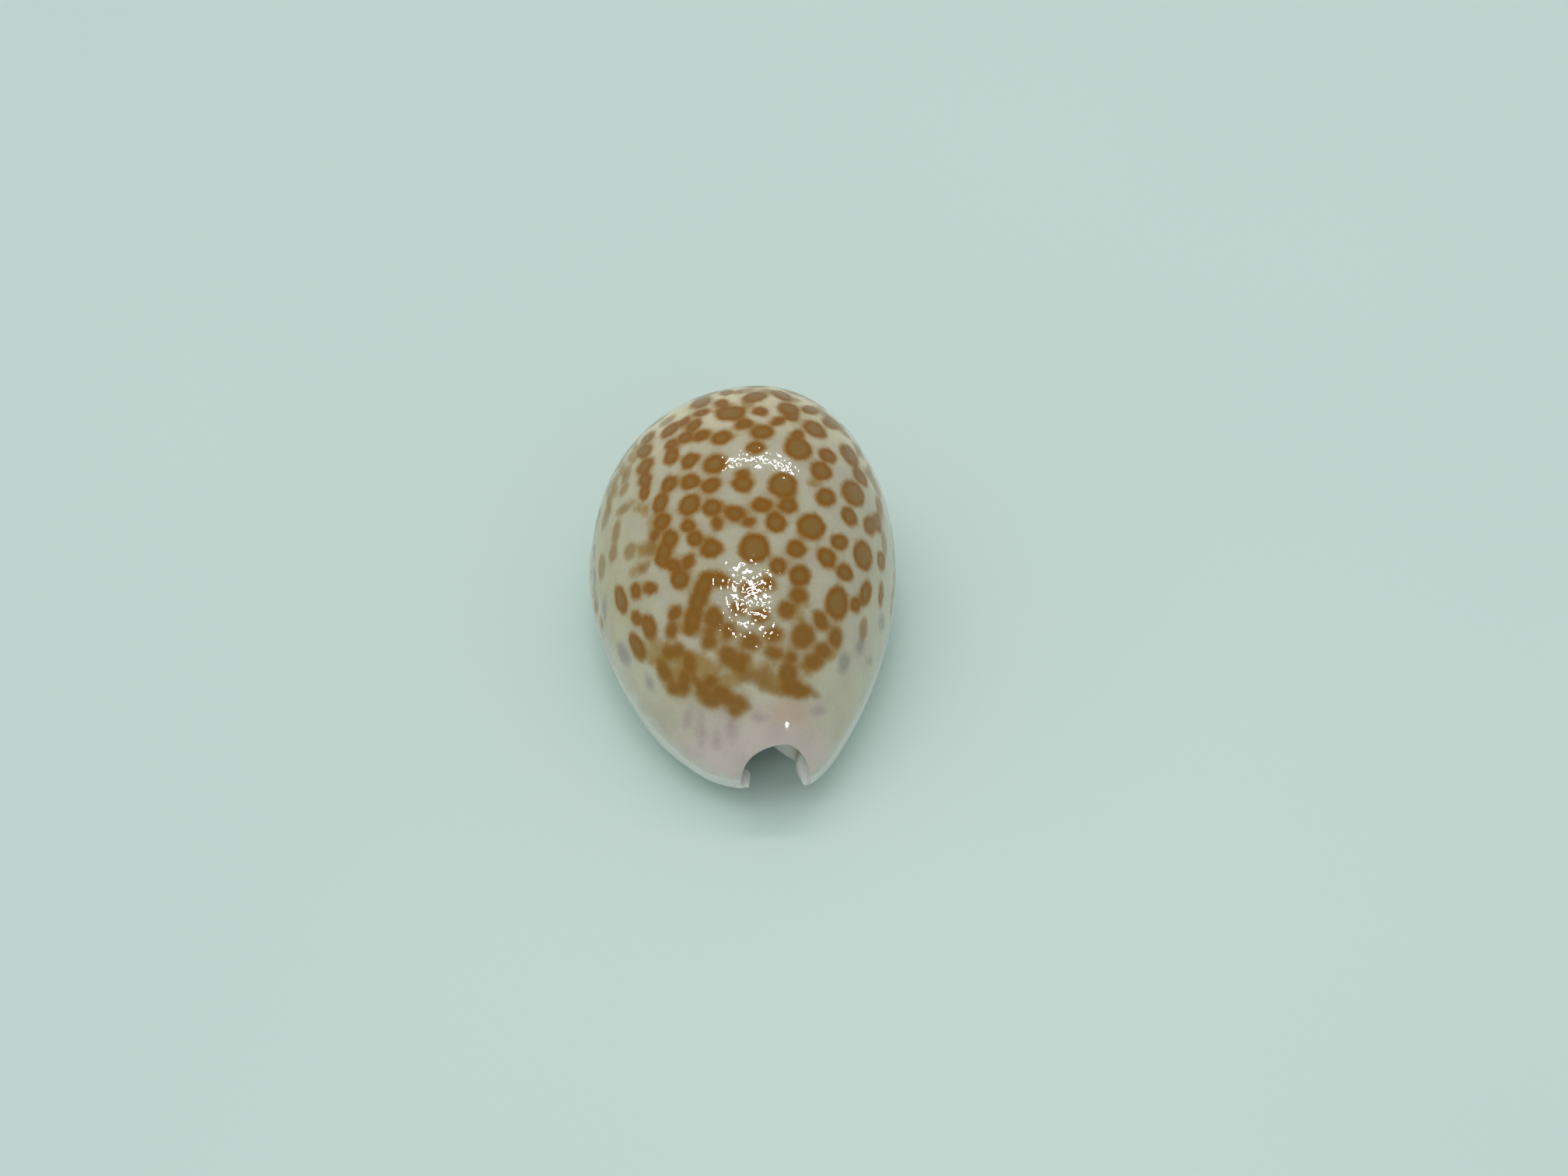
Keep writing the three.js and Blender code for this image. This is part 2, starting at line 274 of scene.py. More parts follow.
def station_list():
    last = FIRST_GROOVE + TOOTH_PITCH * TOOTH_GAPS
    closing = lambda share: 1 - np.cos(share * np.pi / 2)
    steps = STATIONS_PER_TOOTH * TOOTH_GAPS
    front = mix(FRONT, FIRST_GROOVE, closing(np.arange(STATIONS_FRONT) / STATIONS_FRONT))
    middle = mix(FIRST_GROOVE, last, np.arange(steps) / steps)
    rear = mix(REAR, last, closing(np.arange(STATIONS_REAR, -1, -1) / STATIONS_REAR))
    return np.concatenate([front, middle, rear])


# The camera, which stands where the photograph was taken from
CAMERA_SPOT = (-2.797, -77.146, 95.431)
CAMERA_TILT, CAMERA_SWING = np.radians(50.25), np.radians(-3.185)
PHOTO_WIDTH, PHOTO_HEIGHT = 2016, 1512
LENS_PIXELS = 4172.6
RIGHT = np.array([np.cos(CAMERA_SWING), np.sin(CAMERA_SWING), 0])
LEVEL = np.array([-np.sin(CAMERA_SWING), np.cos(CAMERA_SWING), 0])
AHEAD = LEVEL * np.cos(CAMERA_TILT) - np.array([0, 0, np.sin(CAMERA_TILT)])
OVER = LEVEL * np.sin(CAMERA_TILT) + np.array([0, 0, np.cos(CAMERA_TILT)])


# The markings' layout, chosen in the photograph's pixels. Each mark is an oval: x, y, half its
# length, half its width and, for a turned one, how many degrees it rises to the right. It is laid on the
# shell where it shows.
BROWN_SPOTS = [
    (939, 531, 20, 9.5, 5), (901, 517, 14, 6, 20), (928, 518, 9, 5, 10), (934, 504, 9, 4, 8),
    (901, 531, 12, 4.5, 20), (881, 541, 9, 4, 38), (861, 553, 15, 6, 40), (892, 547, 12, 6.5, 35),
    (882, 562, 11, 7, 25), (863, 571, 9, 6, 30), (903, 560, 13, 7, 20), (928, 563, 14.5, 8.5, 12),
    (828, 580, 12, 7.5, 35), (830, 598, 13, 6.5, 40), (826, 604, 8, 7), (832, 564, 11, 5, 45),
    (829, 617, 10, 7.5, 70), (828, 633, 11, 6.5, 80), (863, 587, 13.5, 9, 60), (887, 592, 14, 8.5, 35),
    (919, 596, 17, 12, 20), (860, 622, 12.5, 8.5, 45), (887, 620, 13, 10, 25), (914, 624, 13, 9, 25),
    (849, 647, 14, 9.5, 60), (886, 649, 15.5, 12.5, 40), (916, 652, 14, 11.5, 15), (850, 671, 13, 9.5, 50),
    (884, 676, 10, 9.5), (922, 672, 8, 10), (893, 692, 11.5, 10.5), (842, 688, 10, 6, 60),
    (861, 693, 13, 10.5, 50), (854, 708, 12, 9.5, 60), (851, 720, 10, 8.5, 80), (866, 727, 11, 8.5),
    (884, 723, 12, 8.5, 50), (874, 744, 13, 12.5, 20), (915, 705, 15, 12.5), (798, 772, 19, 7.5, -78),
    (817, 760, 12, 6.5, 90), (835, 756, 9.5, 9), (818, 795, 10, 6.5, -70), (834, 806, 16, 9.5, -72),
    (819, 831, 19, 8.5, -65), (854, 864, 18, 8.5, -65), (880, 882, 12, 8.5, 80), (886, 853, 15, 8.5, -75),
    (860, 838, 10, 10), (872, 837, 8.5, 9), (868, 788, 12, 8, 60), (863, 810, 11.5, 7.5, 80),
    (918, 795, 16, 13, -80), (912, 825, 9.5, 10.5), (913, 812, 7, 7), (937, 811, 12, 8.5, 85),
    (937, 844, 14, 12, -40), (949, 853, 12, 10, -20), (957, 847, 9, 8), (866, 885, 8, 8),
    (904.5, 752, 20, 11, 66), (897.5, 772, 21, 10.5, 71), (890.5, 796, 21, 11, 76),
    (923, 745, 21, 9.5, -15), (970, 705.5, 20, 19.5), (1001, 728.5, 11, 11.5), (988, 750, 10, 9),
    (963, 757, 12, 9), (948, 783, 10, 8), (978, 792, 11, 9), (1011, 784, 11, 11), (965, 825, 15, 10.5),
    (994, 817, 12, 11), (995, 839.5, 12, 9.5), (1017, 846, 8, 9), (1014, 866, 12.5, 14.5),
    (1020, 884, 14, 10.5), (1032, 889, 11, 8.5), (970, 510, 16, 6.5, 10), (977, 529, 11, 5.5),
    (1005, 508, 14, 5, -20), (1014, 525.5, 14, 8, -10), (1018, 535.5, 9, 6), (1042, 527, 11, 5, -15),
    (955.5, 545.5, 12.5, 7, 10), (1000, 542, 11, 5.5, 20), (980, 555.5, 17, 9.5, 5),
    (1048, 552, 17, 9, -28), (1069, 543, 12, 7, -30), (1025.5, 559, 9, 7), (1026.5, 576.5, 18.5, 14, -25),
    (971, 575.5, 13, 8), (1064.5, 585.5, 12.5, 8, -35), (1056.5, 605.5, 15, 11, -30),
    (1093, 585.5, 17, 8, -55), (1106.5, 613, 14, 6, -55), (955.5, 609, 10, 7), (955.5, 622, 14.5, 11),
    (1006.7, 623.5, 20, 16.5), (1013, 650, 12, 11), (1097.8, 634.4, 18.5, 12.5, -50),
    (1062, 639, 13.5, 11.5, -35), (980, 648.5, 13.5, 10), (1092, 664.5, 14, 9.5, -55),
    (944, 660, 15.5, 10.5), (962, 671, 9, 7), (998, 671.5, 14, 13.5), (1043.5, 677, 19, 17, -30),
    (1117.8, 675.5, 13, 7, -80), (1128, 672, 13, 6, -75), (1080, 697, 12, 10, -35),
    (1023.5, 706.5, 12.5, 11.5), (1110, 714, 20, 11.5, -78), (1133, 721, 13, 5, -85),
    (1063.5, 716.7, 14, 11.5, -60), (1086.7, 736.7, 13, 9.5, -55), (1029, 740, 14, 14),
    (1026.7, 766, 12.5, 10.5), (1076.7, 775.5, 22, 14.5, 90), (1113, 763, 16, 7.5, 80), (1100, 778, 7, 10),
    (1133, 764, 17, 3, 88), (1055.5, 797.8, 15, 9, -60), (1032, 818, 17, 15.5, 90),
    (1074.5, 820, 8.5, 13.5), (1058, 836, 11.5, 11), (1046, 850, 12.5, 11), (899, 880, 14, 7, -52),
    (912, 877, 11, 8, 30), (905, 890, 10, 8), (927, 889, 12, 7, -20), (915, 898, 13, 11),
    (936, 899, 14, 9, -15), (952, 904, 12, 8, -30), (945, 913, 8, 8), (880, 868, 8, 6, 80)]

# Olive film that runs between the brown spots, mostly near the front
OLIVE_FILM = [
    (845, 832, 10, 9), (832, 838, 9, 9), (843, 850, 10, 8), (872, 850, 11, 9), (893, 847, 11, 10),
    (906, 860, 12, 9), (868, 865, 11, 9), (918, 860, 10, 8), (840, 704, 7, 9), (826, 708, 7, 9),
    (824, 731, 7, 5), (880, 806, 12, 9), (1035, 778, 8, 7), (1070, 842, 6, 7), (830, 655, 6, 8),
    (817, 575, 5, 6), (872, 880, 9, 8), (893, 862, 10, 8), (960, 519, 9, 6), (935, 522, 10, 6),
    (950, 866, 12, 10), (968, 862, 12, 9), (985, 874, 13, 10), (1002, 880, 12, 10), (930, 884, 14, 12),
    (812, 588, 6, 8), (800, 605, 5, 9), (790, 628, 4, 11), (783, 648, 3, 12), (822, 655, 8, 5),
    (812, 646, 6, 6), (1058, 524, 10, 3.5), (1082, 548, 7, 5), (1104, 580, 4, 8), (1118, 605, 4, 9),
    (1131, 650, 3.5, 12), (985, 503, 14, 3), (950, 504, 8, 3), (838, 558, 5, 5), (815, 736, 6, 8),
    (880, 545, 9, 6), (925, 745, 8, 9), (855, 845, 9, 9), (1047, 622, 9, 7), (1030, 795, 8, 5),
    (905, 856, 14, 8), (936, 872, 12, 7), (1036, 860, 8, 10), (985, 856, 10, 6), (838, 675, 5, 10)]

# Paler, softer spots of the flanks and the front
FAINT_SPOTS = [
    (779, 664, 18, 4, 75), (792, 684, 16, 4.5, 80), (788, 711, 13, 4.5, 80), (773, 729, 17, 4.5, 87),
    (810, 709, 12, 7, 70), (802, 629, 11, 4, 60), (801, 655, 11, 5, 35), (827, 729, 10, 5, 40),
    (858, 541, 13, 3.5, 35), (1126.7, 625.5, 16, 4, -65), (893, 812, 10, 7), (1110, 810, 17, 5, 82),
    (791, 617, 11, 3, 60), (784, 640, 12, 3, 70), (835, 703, 9, 8), (962, 869, 13, 7, -10),
    (976, 873, 12, 8), (988, 881, 11, 8), (1001, 886, 11, 9), (984, 865, 9, 7), (1046, 893, 8, 5, -20),
    (814, 571, 12, 3.5, 50), (846, 541, 13, 3, 35), (1118, 612, 12, 3, -60), (1058, 530, 13, 3.5, -35),
    (1084, 554, 14, 3.5, -45), (1104, 579, 14, 3.5, -58), (1131, 652, 16, 3.5, -78),
    (1137, 700, 18, 3, -85), (805, 611, 14, 4, 65), (798, 595, 12, 3, 58), (784, 627, 12, 3, 68),
    (958, 502, 14, 3, 8), (1018, 513, 14, 3, -10)]

# Marks that show grey through the white glaze of the margins, and lilac clouds on the front callus
VEILED_SPOTS = [
    (1085, 852, 17, 9, 80), (801, 840, 19, 8, -68), (835, 878, 15, 7, -70), (1106, 832, 7, 13),
    (1134, 800, 5, 14), (1118, 850, 5, 8), (777, 782, 4, 18)]
LILAC_CLOUDS = [
    (902, 938, 24, 6, 88), (940, 937, 20, 6, 90), (884, 924, 14, 5, 75), (922, 952, 12, 5, 85),
    (1053, 915, 10, 7), (978, 922, 12, 5)]

# The part of the back that faces away is filled with scattered marks of the same sizes
SCATTER = {"seed": 11, "tries": 8000, "radius": (0.16, 0.56), "gap": (0.05, 0.2), "touching": 0.12,
           "from_y": -4.0, "to_y": 7.8, "lowest": 0.996, "smaller_low_down": 0.35}
# The seen part ends at this y on the crest, and further forward low on the flanks and at the margin
SEEN_UNTIL, SEEN_LESS_ON_FLANK, SEEN_LESS_AT_MARGIN = 5.3, 4.2, 3
MARGIN_FROM, MARGIN_SPAN = 0.97, 0.02
SPOT_BLEND, FILM_BLEND = 0.045, 0.13
LEAST_FACING = 0.25


def on_back(y, across):
    """A point of the back in space, from its place along y and across it."""
    crest, mid, top = crest_x(y), margin_height(y), crest_height(y, 0.0 * y)
    left = -reach("outer", y, 0.0 * y)
    right = reach("inner", y, 0.0 * y)
    x = np.where(across < 0, crest - across * (left - crest), crest + across * (right - crest))
    z = mid + (top - mid) * np.sqrt(np.maximum(0, 1 - across ** 2))
    return np.stack([x, y, z], -1)


def seen_at(surface, x, y):
    """The surface point that shows at one pixel, its outward direction, the ray to it and the scale."""
    ray = RIGHT * (x - PHOTO_WIDTH / 2) + OVER * (PHOTO_HEIGHT / 2 - y) + AHEAD * LENS_PIXELS
    ray = ray / np.linalg.norm(ray)
    point, normal, _, distance = surface.ray_cast(CAMERA_SPOT, Vector(ray))
    if point is None:
        raise ValueError(f"no part of the shell shows at pixel {x}, {y}")
    return np.array(point), np.array(normal), ray, distance / LENS_PIXELS


def laid_marks(surface, marks):
    """Ovals on the surface, in millimetres: centre, two half axes and outward direction."""
    laid = []
    for mark in marks:
        x, y, half_length, half_width, turn = (*mark, 0)[:5]
        centre, outward, ray, scale = seen_at(surface, x, y)
        facing = min(ray @ outward, -LEAST_FACING)
        axes = []
        for half, angle in ((half_length, np.radians(turn)), (half_width, np.radians(turn + 90))):
            seen = scale * half * (RIGHT * np.cos(angle) + OVER * np.sin(angle))
            axes.append(seen - ray * (seen @ outward) / facing)
        laid.append((centre, *axes, outward))
    return laid


def scattered_marks(surface, placed):
    """Round marks for the rear and the low flanks, kept clear of the placed ones."""
    rng = np.random.default_rng(SCATTER["seed"])
    centres, radii = [], []
    for centre, along, aside, _ in placed:
        for share in (-0.5, 0, 0.5):
            centres.append(centre + share * along)
            radii.append(min(np.linalg.norm(along), np.linalg.norm(aside)))
    marks = []
    small, large = SCATTER["radius"]
    near, far = SCATTER["gap"]
    for k in range(SCATTER["tries"]):
        across = np.sin(rng.uniform(-np.pi / 2, np.pi / 2))
        y = SCATTER["to_y"] - (SCATTER["to_y"] - SCATTER["from_y"]) * rng.random() ** 1.5
        radius = mix(large, small, (k / SCATTER["tries"]) ** 0.6) * rng.uniform(0.75, 1.1)
        radius *= 1 - SCATTER["smaller_low_down"] * abs(across) ** 6
        gap = -radius / 2 if rng.random() < SCATTER["touching"] else rng.uniform(near, far)
        at_margin = clamp01((abs(across) - MARGIN_FROM) / MARGIN_SPAN)
        seen_until = SEEN_UNTIL - SEEN_LESS_ON_FLANK * abs(across) ** 7 - SEEN_LESS_AT_MARGIN * at_margin
        if abs(across) > SCATTER["lowest"] or y < seen_until:
            continue
        point = on_back(np.float64(y), np.float64(across))
        away = np.linalg.norm(np.array(centres) - point, axis=1) - np.array(radii) - radius
        if away.min() < gap:
            continue
        centres.append(point)
        radii.append(radius)
        outward = np.array(surface.find_nearest(Vector(point))[1])
        along = np.cross(outward, (1, 0, 0))
        along = along / np.linalg.norm(along)
        marks.append((point, along * radius, np.cross(outward, along) * radius, outward))
    return marks


def gap_to(points, marks, blend):
    """Distance in millimetres to the nearest mark's edge, below 0 inside; close marks blend into one."""
    total = np.zeros(len(points))
    for centre, along, aside, outward in marks:
        short = min(np.linalg.norm(along), np.linalg.norm(aside))
        offset = points - centre
        share = offset @ np.linalg.inv(np.stack([along, aside, outward * short]))
        times = np.linalg.norm(share, axis=1)
        outer = np.linalg.norm(offset, axis=1) * (1 - 1 / np.maximum(times, 1))
        total += np.exp(-np.where(times < 1, short * (times - 1), outer) / blend)
    return np.clip(-blend * np.log(np.maximum(total, 1e-30)), -1.0, 1.0)


# The mesh

def split(face, corner):
    """Two triangles in place of a four-sided face, cut from one corner to the opposite one."""
    a, b, c, d = face[corner:] + face[:corner]
    return [[a, b, c], [a, c, d]]


def build_shell_mesh():
    """The whole skin as one closed mesh, with the values that the teeth and the glaze need."""
    ys = station_list()
    outside, inside, pushes = shell_surfaces(ys)
    outside, inside = outside.swapaxes(0, 1), inside.swapaxes(0, 1)
    rings, count = outside.shape[:2]
    kept = np.arange(0, count, INSIDE_STRIDE)
    inner_rows = np.arange(1, rings - 1)
    inner_cols = kept[1:-1]

    out_index = np.arange(rings * count).reshape(rings, count)
    in_index = out_index[:, kept].copy()
    inner_shape = (len(inner_rows), len(inner_cols))
    in_index[1:-1, 1:-1] = rings * count + np.arange(np.prod(inner_shape)).reshape(inner_shape)

    def both(on_outside, on_inside):
        a = on_outside.reshape(rings * count, -1)
        b = on_inside[np.ix_(inner_rows, inner_cols)].reshape(np.prod(inner_shape), -1)
        return np.concatenate([a, b])

    vertices = both(outside, inside)
    faces = []
    for r in range(rings - 1):
        a, b = out_index[r], out_index[r + 1]
        quads = np.stack([a[1:], b[1:], b[:-1], a[:-1]], 1).tolist()
        # The four corners are split so that no face lies on a face of the rim
        if r in (0, rings - 2):
            corner = 1 if r == 0 else 0
            quads = split(quads[0], corner) + quads[1:-1] + split(quads[-1], 1 - corner)
        faces += quads
    for r in range(1, rings - 2):
        a, b = in_index[r], in_index[r + 1]
        faces += np.stack([a[:-1], b[:-1], b[1:], a[1:]], 1)[1:-1].tolist()
    # Along both lips and both rims the coarser inside meets every point of the outside
    for r in range(1, rings - 2):
        for edge, near in ((0, 1), (-1, -2)):
            a, b = in_index[r], in_index[r + 1]
            loop = [a[edge], b[edge], b[near], a[near]]
            faces.append(loop if edge == 0 else loop[::-1])
    for ring, row, turn in ((0, 1, 1), (rings - 1, rings - 2, -1)):
        rim, near = out_index[ring], in_index[row]
        for k in range(len(kept) - 1):
            on_rim = [rim[i] for i in range(kept[k], kept[k + 1] + 1)]
            loop = on_rim[::-1] + [near[k], near[k + 1]]
            faces.append(loop[::-1] if turn == 1 else loop)

    mesh = bpy.data.meshes.new("cowrie_shell")
    mesh.from_pydata((vertices * MM).tolist(), [], faces)
    mesh.validate()

    station = np.broadcast_to(ys[:, None], (rings, count))
    store(mesh, "station", both(station, station)[:, 0])
    for side in ("outer", "inner"):
        flat = [np.stack([p[..., 0], 0 * p[..., 0], p[..., 1]], -1).swapaxes(0, 1) for p in pushes[side]]
        store(mesh, side + "_groove", both(*flat) * MM)

    surface = BVHTree.FromPolygons(vertices.tolist(), faces)
    brown = laid_marks(surface, BROWN_SPOTS)
    veiled = laid_marks(surface, VEILED_SPOTS)
    brown += scattered_marks(surface, brown + veiled)
    store(mesh, "brown_gap", gap_to(vertices, brown, SPOT_BLEND))
    store(mesh, "film_gap", gap_to(vertices, brown, FILM_BLEND))
    store(mesh, "faint_gap", gap_to(vertices, laid_marks(surface, FAINT_SPOTS), SPOT_BLEND))
    store(mesh, "olive_gap", gap_to(vertices, laid_marks(surface, OLIVE_FILM), FILM_BLEND))
    store(mesh, "veiled_gap", gap_to(vertices, veiled, FILM_BLEND))
    store(mesh, "lilac_gap", gap_to(vertices, laid_marks(surface, LILAC_CLOUDS), FILM_BLEND))

    # The first value is 0 on the base and 1 at the back's crest; the second is 1 deep inside
    along_section = np.minimum(np.arange(count), count - 1 - np.arange(count))
    run = NOSE_POINTS + BASE_POINTS
    back = np.broadcast_to(clamp01((along_section - run) / DOME_POINTS), (rings, count))
    store(mesh, "up_the_back", both(back, 0 * back)[:, 0])
    within = clamp01((along_section - NOSE_POINTS * 0.6) / (BASE_POINTS * 0.5))
    within = np.broadcast_to(within, (rings, count))
    store(mesh, "hollow", both(0 * within, within)[:, 0])
    return mesh


def store(mesh, name, values):
    values = np.ascontiguousarray(values, dtype=np.float32)
    is_vector = values.ndim == 2 and values.shape[1] == 3
    layer = mesh.attributes.new(name, "FLOAT_VECTOR" if is_vector else "FLOAT", "POINT")
    layer.data.foreach_set("vector" if is_vector else "value", values.ravel())


# Node helpers

class Tree:
    """Short calls for adding and joining nodes of one tree."""

    def __init__(self, tree):
        self.tree = tree

    def add(self, kind, inputs=None, **settings):
        node = self.tree.nodes.new(kind)
        for name, value in settings.items():
            setattr(node, name, value)
        for key, value in (inputs or {}).items():
            self.feed(node.inputs[key], value)
        return node

    def feed(self, socket, value):
        if isinstance(value, bpy.types.NodeSocket):
            self.tree.links.new(value, socket)
        else:
            socket.default_value = value


class Shader(Tree):
    def math(self, operation, a, b=0.0):
        return self.add("ShaderNodeMath", {0: a, 1: b}, operation=operation).outputs[0]

    def span(self, value, low, high, to_low=0.0, to_high=1.0, smooth_step=True):
        kind = "SMOOTHSTEP" if smooth_step else "LINEAR"
        node = self.add("ShaderNodeMapRange", {"Value": value, "From Min": low, "From Max": high,
                                               "To Min": to_low, "To Max": to_high}, interpolation_type=kind)
        return node.outputs["Result"]

    def blend(self, share, a, b, mode="MIX"):
        node = self.add("ShaderNodeMix", data_type="RGBA", blend_type=mode)
        sockets = [s for s in node.inputs if s.enabled]
        for socket, value in zip(sockets, (share, a, b)):
            self.feed(socket, value)
        return [s for s in node.outputs if s.enabled][0]

    def noise(self, coordinates, per_mm, detail=2.0, roughness=0.5):
        node = self.add("ShaderNodeTexNoise", {"Vector": coordinates, "Scale": per_mm / MM, "Detail": detail,
                                               "Roughness": roughness})
        return node.outputs["Fac"]

    def attribute(self, name):
        return self.add("ShaderNodeAttribute", attribute_name=name).outputs["Fac"]

    def ramp(self, value, stops):
        node = self.add("ShaderNodeValToRGB", {"Fac": value})
        elements = node.color_ramp.elements
        while len(elements) < len(stops):
            elements.new(1.0)
        for element, (place_at, colour) in zip(elements, stops):
            element.position = place_at
            element.color = colour
        return node.outputs["Color"]


def srgb(r, g, b):
    """A colour given as 0 to 255 screen values."""
    c = np.array([r, g, b]) / 255
    linear = np.where(c <= 0.04045, c / 12.92, ((c + 0.055) / 1.055) ** 2.4)
    return (*[float(v) for v in linear], 1.0)


# The teeth

def lip_teeth_tree():
    """Cuts grooves at one pitch along both lips, by moving the points that carry a groove push."""
    tree = bpy.data.node_groups.new("lip_teeth", "GeometryNodeTree")
    socket = tree.interface.new_socket
    socket("Geometry", in_out="INPUT", socket_type="NodeSocketGeometry")
    for name in ("Pitch", "First groove", "Gaps", "Inner lip shift", "Sharpness"):
        socket(name, in_out="INPUT", socket_type="NodeSocketFloat")
    socket("Glaze", in_out="INPUT", socket_type="NodeSocketMaterial")
    socket("Geometry", in_out="OUTPUT", socket_type="NodeSocketGeometry")
    t = Tree(tree)
    given = t.add("NodeGroupInput").outputs

    def math(operation, a, b=0.0):
        return t.add("ShaderNodeMath", {0: a, 1: b}, operation=operation).outputs[0]

    def named(name, kind):
        node = t.add("GeometryNodeInputNamedAttribute", {"Name": name}, data_type=kind)
        return [s for s in node.outputs if s.enabled and s.name == "Attribute"][0]

    def eased(value):
        node = t.add("ShaderNodeMapRange", {"Value": value, "From Min": 0.0, "From Max": 0.25},
                     interpolation_type="SMOOTHSTEP")
        return node.outputs["Result"]

    def cut(shift):
        start = math("ADD", given["First groove"], shift)
        along = math("SUBTRACT", named("station", "FLOAT"), start)
        angle = math("DIVIDE", math("MULTIPLY", along, np.pi), given["Pitch"])
        wave = math("ABSOLUTE", math("SINE", angle))
        depth = math("POWER", math("SUBTRACT", 1.0, wave), given["Sharpness"])
        started = eased(math("ADD", along, math("MULTIPLY", given["Pitch"], 0.5)))
        length = math("MULTIPLY", math("ADD", given["Gaps"], 0.5), given["Pitch"])
        ended = eased(math("SUBTRACT", length, along))
        return math("MULTIPLY", depth, math("MULTIPLY", started, ended))

    def scaled(vector, amount):
        node = t.add("ShaderNodeVectorMath", {0: vector, "Scale": amount}, operation="SCALE")
        return node.outputs[0]

    outer = scaled(named("outer_groove", "FLOAT_VECTOR"), cut(0.0))
    inner = scaled(named("inner_groove", "FLOAT_VECTOR"), cut(given["Inner lip shift"]))
    offset = t.add("ShaderNodeVectorMath", {0: outer, 1: inner}, operation="ADD").outputs[0]
    moved = t.add("GeometryNodeSetPosition", {"Geometry": given["Geometry"], "Offset": offset})
    rounded = t.add("GeometryNodeSetShadeSmooth", {0: moved.outputs[0]})
    plain = t.add("GeometryNodeRealizeInstances", {0: rounded.outputs[0]})
    glazed = t.add("GeometryNodeSetMaterial", {"Geometry": plain.outputs[0], "Material": given["Glaze"]})
    t.add("NodeGroupOutput", {0: glazed.outputs[0]})
    return tree


def with_tree(mesh, name, tree, values):
    """Runs a node tree on a mesh and gives back an object with the plain result."""
    rough = bpy.data.objects.new(name + "_blank", mesh)
    bpy.context.collection.objects.link(rough)
    modifier = rough.modifiers.new(tree.name, "NODES")
    modifier.node_group = tree
    for item in tree.interface.items_tree:
        if item.item_type == "SOCKET" and item.in_out == "INPUT" and item.name in values:
            modifier[item.identifier] = values[item.name]
    evaluated = rough.evaluated_get(bpy.context.evaluated_depsgraph_get())
    result = bpy.data.meshes.new_from_object(evaluated)
    rough.modifiers.clear()
    bpy.data.objects.remove(rough)
    result.name = name
    piece = bpy.data.objects.new(name, result)
    bpy.context.collection.objects.link(piece)
    return piece


# The glaze

CREAM_AND_PAINTED_LIGHT_REAR = srgb(242, 230, 190)
WHITE_MIDDLE = srgb(204, 200, 174)
LILAC_FRONT = srgb(214, 198, 188)
CREAM_FLANK = srgb(198, 191, 152)
BASE_WHITE = srgb(208, 210, 198)
PAINTED_RIM_HIGHLIGHT = srgb(250, 251, 246)
SPOT_HEART = srgb(149, 112, 50)
SPOT_RING = srgb(148, 94, 0)
SPOT_HALO = srgb(168, 124, 30)
VEILED_BROWN = srgb(130, 106, 58)
FAINT_BROWN = srgb(152, 112, 44)
AMBER = srgb(146, 98, 16)
OLIVE = srgb(166, 131, 62)
FILM = srgb(164, 128, 54)
HAZE = srgb(172, 150, 104)
VEIL_GREY = srgb(156, 150, 142)
LILAC = srgb(180, 160, 154)
BRICK_RED = srgb(150, 70, 52)
FAINT_ORANGE = srgb(204, 170, 140)


